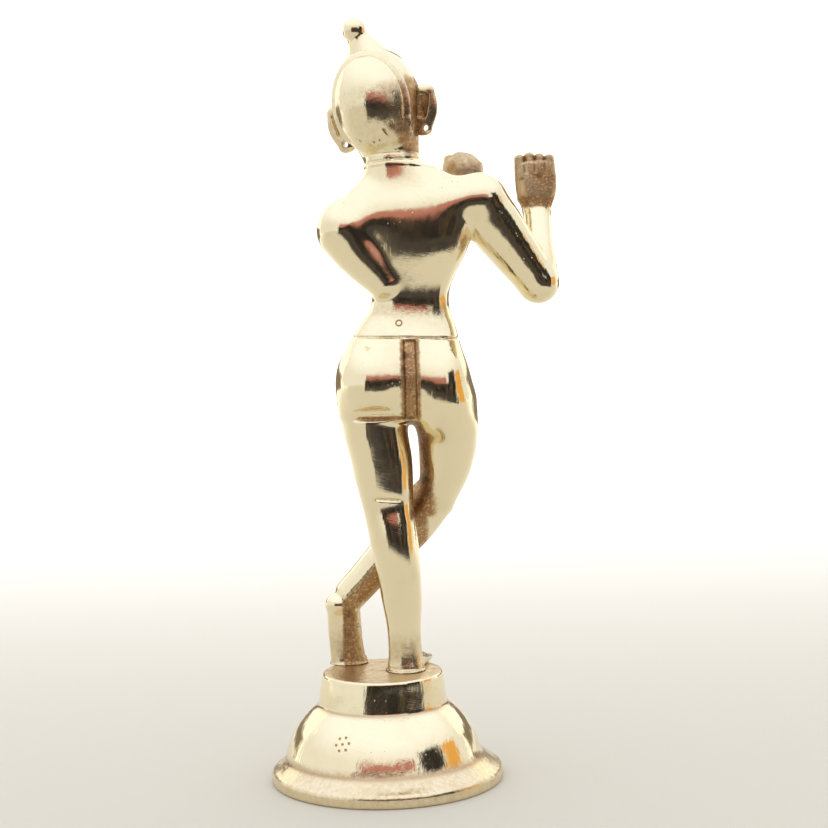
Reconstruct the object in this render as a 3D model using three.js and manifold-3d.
// A cast and polished brass figure, standing cross-legged in the flute player's stance, on a round
// bell-shaped plinth that is hollow underneath. Two castings: the figure, and the plinth that its
// feet are brazed to. Millimetres, +Z up. The figure faces -Y, so +X is its own left-hand side.
//
// Every limb is a straight axis with rows of sections along it. A row reads
// [distance along the axis, half width, half depth, shift of the centre sideways, shift in depth].
import * as THREE from "three";
import { mergeVertices } from "three/addons/utils/BufferGeometryUtils.js";
import Module from "manifold-3d";

const wasm = await Module();
wasm.setup();

// Driving dimensions.
const PLINTH_TOP = 43.6;
const PLINTH_WALL = 3;
const FLANGE_RADIUS = 46.8;
const BAND_RADIUS = 24.5;
const BAND_FOOT_RADIUS = 26.3;
const BAND_FOOT = 30.8;
const PLINTH_STEPS = 36;
const SOLE_GAP = 0.3;
const GROOVE = 0.9;
const EAR_HOLE_RADIUS = 1.25;

// Finish of the two castings.
const BRASS = { color: 0xd9bf86, metalness: 1, roughness: 0.16 };

// Numbers of sides for thick, middling and thin limbs.
const THICK = 18;
const MIDDLE = 10;
const THIN = 6;

const point = (x, y, z) => new THREE.Vector3(x, y, z);
const radians = THREE.MathUtils.degToRad;

// Closed surface through rings of equally many points, with a pole at each end.
function skin(poleA, rings, poleB) {
  const sides = rings[0].length;
  const vertices = [poleA, ...rings.flat(), poleB];
  const faces = [];
  const at = (ring, side) => 1 + ring * sides + (side % sides);
  for (let s = 0; s < sides; s++) {
    faces.push(0, at(0, s + 1), at(0, s));
    faces.push(vertices.length - 1, at(rings.length - 1, s), at(rings.length - 1, s + 1));
    for (let r = 0; r + 1 < rings.length; r++) {
      faces.push(at(r, s), at(r, s + 1), at(r + 1, s + 1));
      faces.push(at(r, s), at(r + 1, s + 1), at(r + 1, s));
    }
  }
  const geometry = new THREE.BufferGeometry().setFromPoints(vertices);
  geometry.setIndex(faces);
  return geometry;
}

// A manifold-3d solid from a closed geometry.
function solid(geometry) {
  const bare = geometry.clone();
  bare.deleteAttribute("normal");
  bare.deleteAttribute("uv");
  const merged = mergeVertices(bare, 1e-4);
  const made = new wasm.Manifold(
    new wasm.Mesh({
      numProp: 3,
      vertProperties: new Float32Array(merged.attributes.position.array),
      triVerts: new Uint32Array(merged.index.array),
    }),
  );
  return made;
}

// A limb from one point to another. side is the direction that half widths are measured in, capA
// and capB are the lengths of the rounded ends, and a power over 2 squares the sections.
function limb(from, to, rows, options = {}) {
  const { side = point(1, 0, 0), sides = MIDDLE, capA, capB, power = 2 } = options;
  const along = to.clone().sub(from).normalize();
  const wide = side.clone().addScaledVector(along, -side.dot(along)).normalize();
  const deep = along.clone().cross(wide);

  const ring = (row, at, scale) => {
    const [, halfWide, halfDeep, shiftWide, shiftDeep] = row;
    const centre = from
      .clone()
      .addScaledVector(along, at)
      .addScaledVector(wide, shiftWide)
      .addScaledVector(deep, shiftDeep);
    const points = [];
    for (let s = 0; s < sides; s++) {
      const angle = (2 * Math.PI * (s + 0.5)) / sides;
      const [c, d] = [Math.cos(angle), Math.sin(angle)];
      const squash = (v) => Math.sign(v) * Math.abs(v) ** (2 / power);
      points.push(
        centre
          .clone()
          .addScaledVector(wide, squash(c) * halfWide * scale)
          .addScaledVector(deep, squash(d) * halfDeep * scale),
      );
    }
    return { centre, points };
  };

  const full = rows.map((row) => [...row, 0, 0].slice(0, 5));
  const rings = [];
  const [start, end] = [full[0], full[full.length - 1]];
  const [lengthA, lengthB] = [
    capA ?? Math.min(start[1], start[2]),
    capB ?? Math.min(end[1], end[2]),
  ];
  const capAngles = (sides > THIN ? [60, 28] : [42]).map(radians);
  for (const a of capAngles)
    rings.push(ring(start, start[0] - lengthA * Math.sin(a), Math.cos(a)).points);
  for (const row of full) rings.push(ring(row, row[0], 1).points);
  for (const a of [...capAngles].reverse())
    rings.push(ring(end, end[0] + lengthB * Math.sin(a), Math.cos(a)).points);
  const poleA = ring(start, start[0] - lengthA, 0).centre;
  const poleB = ring(end, end[0] + lengthB, 0).centre;
  return solid(skin(poleA, rings, poleB));
}

// A limb along +Z whose rows give real heights and, as shifts, real x and y.
const upright = (rows, options) => limb(point(0, 0, 0), point(0, 0, 1), rows, options);

// An ellipsoid with its half sizes, turned by degrees about x, y and z.
function blob(centre, size, turn = [0, 0, 0], sides = MIDDLE) {
  const geometry = new THREE.SphereGeometry(1, sides, Math.round(sides / 2) + 1);
  geometry.rotateX(Math.PI / 2);
  geometry.scale(...size);
  const [x, y, z] = turn.map(radians);
  geometry.applyMatrix4(new THREE.Matrix4().makeRotationFromEuler(new THREE.Euler(x, y, z)));
  geometry.translate(centre.x, centre.y, centre.z);
  return solid(geometry);
}

const join = (parts) => parts.reduce((whole, part) => whole.add(part));

// Trunk from the crotch to the base of the neck: hips, waist, ribs and the sloping shoulders.
const TRUNK_ROWS = [
  [148.4, 28, 15.4, -12.5, 1],
  [154, 28.3, 17.2, -12.4, 1.8],
  [161, 27.7, 18, -11.5, 2.4],
  [168.7, 26, 16.2, -11, 1.6],
  [176, 23, 13.2, -11.8, 0.4],
  [183.3, 19.6, 11.4, -12.8, -1],
  [193, 15.3, 10.6, -14.4, -1.6],
  [203, 17.6, 12, -15.2, -0.8],
  [212.6, 21.4, 13.2, -16.6, 0],
  [224, 24.4, 13, -16, 0.6],
  [236, 24, 10.4, -14, 0.4],
  [242, 18.6, 8.6, -14.6, -0.6],
  [246, 14.4, 7.6, -12.2, -1.4],
];
const CLEFT_TOP = point(-14, 14.5, 177.6);
const CLEFT_END = point(-12.8, 18.5, 145);
const WAISTBAND = 178.2;

function trunk() {
  const body = upright(TRUNK_ROWS, { sides: THICK, capA: 3, capB: 1.5 });
  const yoke = limb(
    point(10, 0, 222.5),
    point(-44, 0, 233.8),
    [
      [0, 12.6, 12],
      [18, 12, 11.4],
      [37, 11.4, 11],
      [55, 10.8, 10.6],
    ],
    { side: point(0, 0, 1) },
  );
  const buttocks = [
    blob(point(1.4, 8.4, 160.4), [14.4, 13.2, 13.4]),
    blob(point(-26, 8.4, 160.4), [13.6, 13.2, 13.4]),
  ];
  const pleat = limb(
    point(-13.2, -10.4, 176.5),
    point(-12.6, -12, 148),
    [[0, 6.4, 3], [12, 5, 4.6], [28, 3.2, 4.2]],
    { sides: THIN, capB: 2 },
  );
  return [body, yoke, ...buttocks, pleat];
}

// Cut lines on the back: the waistband's groove and the sunk strip between the buttocks.
function trunkCuts() {
  const slab = new THREE.BoxGeometry(90, 60, 1);
  slab.rotateY(radians(2));
  slab.translate(-12, 0, WAISTBAND);
  const inner = TRUNK_ROWS.map(([z, w, d, x, y]) => [z, w - GROOVE, d - GROOVE, x, y]);
  const groove = solid(slab).subtract(upright(inner, { sides: THICK, capA: 3, capB: 1.5 }));
  const strip = limb(CLEFT_TOP, CLEFT_END, [[0, 2.1, 3], [15, 2.1, 4.4, 0, 1.4], [32, 2.1, 4]], {
    sides: THIN,
  });
  return [groove, strip];
}

// The straight leg, which carries the weight, with its foot flat on the plinth.
function leftLeg() {
  const rows = [
    [48, 7.0, 7.2, -8.9, -0.4],
    [54, 6.7, 6.6, -8.7, 0],
    [71, 8.0, 7.8, -8.0, 1],
    [81, 8.6, 8.8, -7.3, 1.6],
    [101, 10, 10.6, -4.9, 2],
    [111, 10.4, 10.2, -3, 0.6],
    [130, 12.5, 12.2, -1, -0.4],
    [139.4, 13, 13.4, 0.8, -0.2],
    [150, 14, 14.4, 1.6, 0.4],
  ];
  return [upright(rows, { capA: 5 }), ...foot(point(-8.9, 2, 0), point(-12.6, -17.5, 0))];
}

// A foot flat on the plinth, from its heel to the ball, with five toes.
function foot(heel, ball) {
  const length = heel.distanceTo(ball);
  const lift = point(0, 0, PLINTH_TOP + 2);
  const sole = limb(
    heel.clone().add(lift),
    ball.clone().add(lift),
    [
      [0, 6, 3.8],
      [0.45 * length, 5.6, 5.4, 0, 0.6],
      [0.8 * length, 6.2, 3.8],
      [length, 6, 2.6, 0, -0.4],
    ],
    { side: point(1, 0, 0), capA: 4.4, sides: MIDDLE },
  );
  const forward = ball.clone().sub(heel).normalize();
  const across = point(0, 0, 1).cross(forward).normalize();
  const toes = [-2, -1, 0, 1, 2].map((k) => {
    const root = ball.clone().addScaledVector(across, 2.3 * k).add(lift);
    root.z -= 0.4;
    const tip = root.clone().addScaledVector(forward, 3.6 - 0.35 * Math.abs(k));
    return limb(root, tip, [[0, 1.4, 1.4], [tip.distanceTo(root), 1.3, 1.3]], { sides: THIN });
  });
  return [sole, ...toes];
}

// The leg that crosses in front, its knee bent outwards, with the foot upright on its toes.
function rightLeg() {
  const thigh = upright(
    [
      [108, 9.4, 9.4, -21.6, -12.6],
      [115, 9.9, 10.6, -23.9, -10.6],
      [120, 10.2, 11.4, -26, -8.6],
      [127, 11, 12.4, -27.6, -6.2],
      [134.6, 12, 13.2, -28.3, -4],
      [144.3, 12.8, 14.2, -28.4, -1.4],
      [152, 13.6, 14.8, -27.4, 0.4],
    ],
    { capA: 6 },
  );
  const knee = point(-21.4, -13, 111.6);
  const ankle = point(13.2, -16, 72.6);
  const shin = limb(
    knee,
    ankle,
    [
      [0, 9.4, 9],
      [12, 9.2, 8.2, -0.8],
      [26, 8, 7.6, -0.8],
      [40, 7.2, 7, -0.7],
      [52.2, 6.8, 6.2, -0.4],
    ],
    { side: point(0, 0, 1) },
  );
  const footColumn = upright(
    [
      [47, 7.0, 5.0, 14.8, -17],
      [53, 6.9, 5.0, 15.5, -17],
      [60, 7.0, 5.4, 15.9, -17],
      [68, 6.8, 6.0, 16.2, -16.6],
    ],
    { capA: 4, capB: 4, power: 2.6 },
  );
  const heel = blob(point(18.4, -14.6, 68.6), [5.2, 5, 4.6], [0, 0, 0], 12);
  const toes = [-1.5, -0.5, 0.5, 1.5].map((k) => {
    const root = point(13.2 + 0.9 * k, -18 - 1.9 * k, PLINTH_TOP + 2.6);
    const tip = root.clone().add(point(-3.4, -1.8, -0.6));
    return limb(root, tip, [[0, 2.2, 2.4], [3.9, 1.6, 1.7]], { sides: THIN });
  });
  return [thigh, shin, footColumn, heel, ...toes];
}

// A hand held up for a flute: a cupped palm whose four fingers bend over at the top. sign is +1
// where the thumb lies on the +x side.
function hand(wrist, up, sign) {
  const rise = up.clone().normalize();
  const across = point(1, 0, 0).addScaledVector(rise, -rise.x).normalize();
  const back = rise.clone().cross(across);
  const at = (a, b, u) =>
    wrist.clone().addScaledVector(across, a).addScaledVector(back, b).addScaledVector(rise, u);
  const palm = limb(
    wrist,
    at(0, 0, 1),
    [
      [0, 5, 4.6],
      [5, 7.2, 4.6, 0, 0.4],
      [11, 8.3, 4.4, 0, 0.6],
      [18, 8.3, 4.2, 0, 0.2],
    ],
    { side: across, power: 2.4, capB: 2 },
  );
  const fingers = [-1.5, -0.5, 0.5, 1.5].map((k) => {
    const top = 24.4 - 0.7 * Math.abs(k - 0.5 * sign);
    return limb(
      at(4.1 * k, 0.8, 13),
      at(4.1 * k, 0.4, top),
      [
        [0, 2.3, 3.6],
        [top - 15.4, 2.1, 3],
      ],
      { side: across, sides: THIN, capB: 1.6 },
    );
  });
  const thumb = limb(
    at(5.6 * sign, -2.4, 5),
    at(6.2 * sign, -3.6, 15),
    [[0, 2.3, 2.3], [8.5, 1.9, 1.9]],
    { side: across, sides: THIN },
  );
  return [palm, ...fingers, thumb];
}

// The arm that lies along the side and reaches across the chest.
function leftArm() {
  const shoulder = point(11.6, 1, 222.6);
  const elbow = point(-3.6, 2.5, 200.2);
  const wrist = point(-36.8, -26, 231.8);
  const upper = limb(
    shoulder,
    elbow,
    [[0, 12.6, 12], [8, 11.6, 10.6], [18, 10, 9.4], [27, 8, 8]],
    { side: point(0, 0, 1), capB: 7 },
  );
  const bend = point(-1.4, -15.5, 204);
  const wrap = limb(elbow, bend, [[0, 7.6, 7.6], [8, 7.4, 7.6], [18, 7, 7.2]], {
    side: point(0, 0, 1),
  });
  const fore = limb(
    bend,
    wrist,
    [[0, 7, 7.2], [14, 6.8, 6.8], [30, 5.6, 5.6], [46.3, 4.8, 4.8]],
    { side: point(0, 0, 1) },
  );
  return [upper, wrap, fore, ...hand(wrist, point(-0.1, -0.16, 1), 1)];
}

// The arm held out to the side, with its forearm raised.
function rightArm() {
  const shoulder = point(-44.4, 0, 232.4);
  const elbow = point(-66.6, -6, 199.4);
  const wrist = point(-68.6, -20, 230.2);
  const upper = limb(
    shoulder,
    elbow,
    [[0, 10.8, 11.8], [10, 10.4, 12, 0, 0.8], [24, 9.4, 10.2, 0, 0.4], [40.2, 8.2, 8.4]],
    { side: point(0, 1, 0) },
  );
  const fore = limb(
    elbow,
    wrist,
    [[0, 8.2, 8], [9, 7.6, 7.4], [20, 6, 5.8], [32.8, 4.8, 4.4]],
    { side: point(1, 0, 0) },
  );
  return [upper, fore, ...hand(wrist, point(0.05, -0.03, 1), 1)];
}

// Head frame: its origin between the ears, tilted to the figure's left, face turned to its right.
const HEAD = new THREE.Matrix4()
  .makeTranslation(-4.2, -3, 275)
  .multiply(new THREE.Matrix4().makeRotationY(radians(9.5)))
  .multiply(new THREE.Matrix4().makeRotationZ(radians(-20)));
const inHead = (x, y, z) => point(x, y, z).applyMatrix4(HEAD);

// A blob in the head's own frame.
const headBlob = (centre, size, sides = MIDDLE) =>
  blob(point(...centre), size, [0, 0, 0], sides).transform(HEAD.elements);

// An ear: a flat plate that stands out from the head, pierced through the lobe.
function ear(sign) {
  const plate = limb(
    inHead(17.6 * sign, -1, -1.6),
    inHead(17.6 * sign, -1, -15.6),
    [
      [0, 5.2, 1.8, 0.4 * sign],
      [4, 6.2, 1.8, 0.6 * sign],
      [9, 5.8, 1.8, 0.4 * sign],
      [14, 3.6, 1.8, 0.6 * sign],
    ],
    { side: inHead(1, 0, 0).sub(inHead(0, 0, 0)), capA: 3, capB: 3, sides: 8 },
  );
  const hole = new THREE.CylinderGeometry(EAR_HOLE_RADIUS, EAR_HOLE_RADIUS, 12, 6);
  hole.translate(19 * sign, -1, -14.6);
  hole.applyMatrix4(HEAD);
  return plate.subtract(solid(hole));
}

// Skull with its smooth cap of hair, the face, the ears, the neck and the knot of hair.
function head() {
  const skull = headBlob([0, 0.6, 0.5], [17, 18.2, 21], 15);
  const behindEars = new THREE.BoxGeometry(60, 40, 60);
  behindEars.translate(0, 29, 0);
  const cap = headBlob([0, 1.4, 0], [17.9, 19.2, 22.4], 16).intersect(
    solid(behindEars).transform(HEAD.elements),
  );
  const nape = headBlob([-0.5, 6, -12], [14, 11, 11.5], 12);
  const jaw = headBlob([0, -6.4, -9], [12, 11.2, 12.6], 12);
  const nose = limb(
    inHead(0, -16, 3.2),
    inHead(0, -18.4, -5.8),
    [[0, 1.2, 1.4], [5, 1.6, 1.8], [9, 2.3, 1.9]],
    { side: inHead(1, 0, 0).sub(inHead(0, 0, 0)), sides: THIN },
  );
  const lips = [-9.8, -11.5].map((z) => headBlob([0, -16.2, z], [3.7, 1.9, 1], 8));
  const eyes = [-1, 1].map((s) => headBlob([6 * s, -14.4, 0.4], [3.3, 2.0, 1.5], 10));
  const chin = headBlob([0, -13.6, -17.2], [4, 3.6, 3.4], 10);
  const knotRoot = inHead(1.2, 2, 15);
  const knotBall = point(5.6, 0, 301.4);
  const knot = limb(
    knotRoot,
    knotBall,
    [[0, 9.8, 9.8], [3.4, 7.8, 7.8], [7, 5.4, 5.4], [11.5, 3.8, 3.8]],
    { sides: 10, capA: 1.5 },
  );
  const ball = blob(knotBall, [4.4, 4.4, 4.4], [0, 0, 0], 10);
  const neck = limb(
    point(-11, 0, 238),
    point(-7.4, -2, 256),
    [[0, 14, 9.6], [7, 11.8, 10], [13, 11.4, 10.2], [18, 12.6, 11]],
  );
  return [neck, skull, cap, nape, jaw, nose, ...lips, ...eyes, chin, knot, ball];
}

// The figure, cut flat under its feet where it meets the plinth.
function figure() {
  const whole = join([
    ...trunk(),
    ...leftLeg(),
    ...rightLeg(),
    ...leftArm(),
    ...rightArm(),
    ...head(),
    ear(-1),
    ear(1),
  ]);
  const under = new THREE.BoxGeometry(120, 120, 40);
  under.translate(0, 0, PLINTH_TOP + SOLE_GAP - 20);
  return [...trunkCuts(), solid(under)].reduce((rest, cut) => rest.subtract(cut), whole);
}

// The plinth's outside and inside, as radius and height: flange, bell, band, top and hollow.
function plinthProfile() {
  const outline = new THREE.Path();
  outline.moveTo(FLANGE_RADIUS - 0.7, 0);
  outline.quadraticCurveTo(FLANGE_RADIUS + 0.4, 1.6, FLANGE_RADIUS - 0.6, 3.6);
  outline.lineTo(41.2, 7.6);
  outline.lineTo(39.5, 8.8);
  outline.bezierCurveTo(38.8, 17, 34.6, 23.4, BAND_FOOT_RADIUS, BAND_FOOT);
  outline.lineTo(BAND_RADIUS, PLINTH_TOP - 1.4);
  outline.quadraticCurveTo(BAND_RADIUS - 0.2, PLINTH_TOP, BAND_RADIUS - 2, PLINTH_TOP);
  outline.lineTo(0, PLINTH_TOP);
  outline.lineTo(0, PLINTH_TOP - PLINTH_WALL);
  outline.lineTo(BAND_RADIUS - PLINTH_WALL, PLINTH_TOP - PLINTH_WALL);
  outline.lineTo(BAND_FOOT_RADIUS - PLINTH_WALL, BAND_FOOT - 1.5);
  outline.bezierCurveTo(31.6, 21, 35.4, 15, 36.2, 5);
  outline.lineTo(37.2, 0);
  outline.closePath();
  return outline.getPoints(3);
}

function plinth() {
  return new THREE.LatheGeometry(plinthProfile(), PLINTH_STEPS);
}

// A mesh from a manifold-3d solid or a geometry.
function mesh(name, shape) {
  let geometry = shape;
  if (!shape.isBufferGeometry) {
    const { vertProperties, triVerts } = shape.getMesh();
    geometry = new THREE.BufferGeometry();
    geometry.setAttribute("position", new THREE.BufferAttribute(vertProperties, 3));
    geometry.setIndex(new THREE.BufferAttribute(triVerts, 1));
  }
  geometry.computeVertexNormals();
  const made = new THREE.Mesh(geometry, new THREE.MeshStandardMaterial(BRASS));
  made.name = name;
  return made;
}

// The two castings, with the origin on the floor under the middle of the whole outline.
const statue = new THREE.Group();
statue.add(mesh("figure", figure()));
const base = mesh("plinth", plinth());
base.rotation.x = Math.PI / 2;
statue.add(base);
const middle = new THREE.Box3().setFromObject(statue).getCenter(point(0, 0, 0));
statue.position.set(-middle.x, -middle.y, 0);

export default statue;
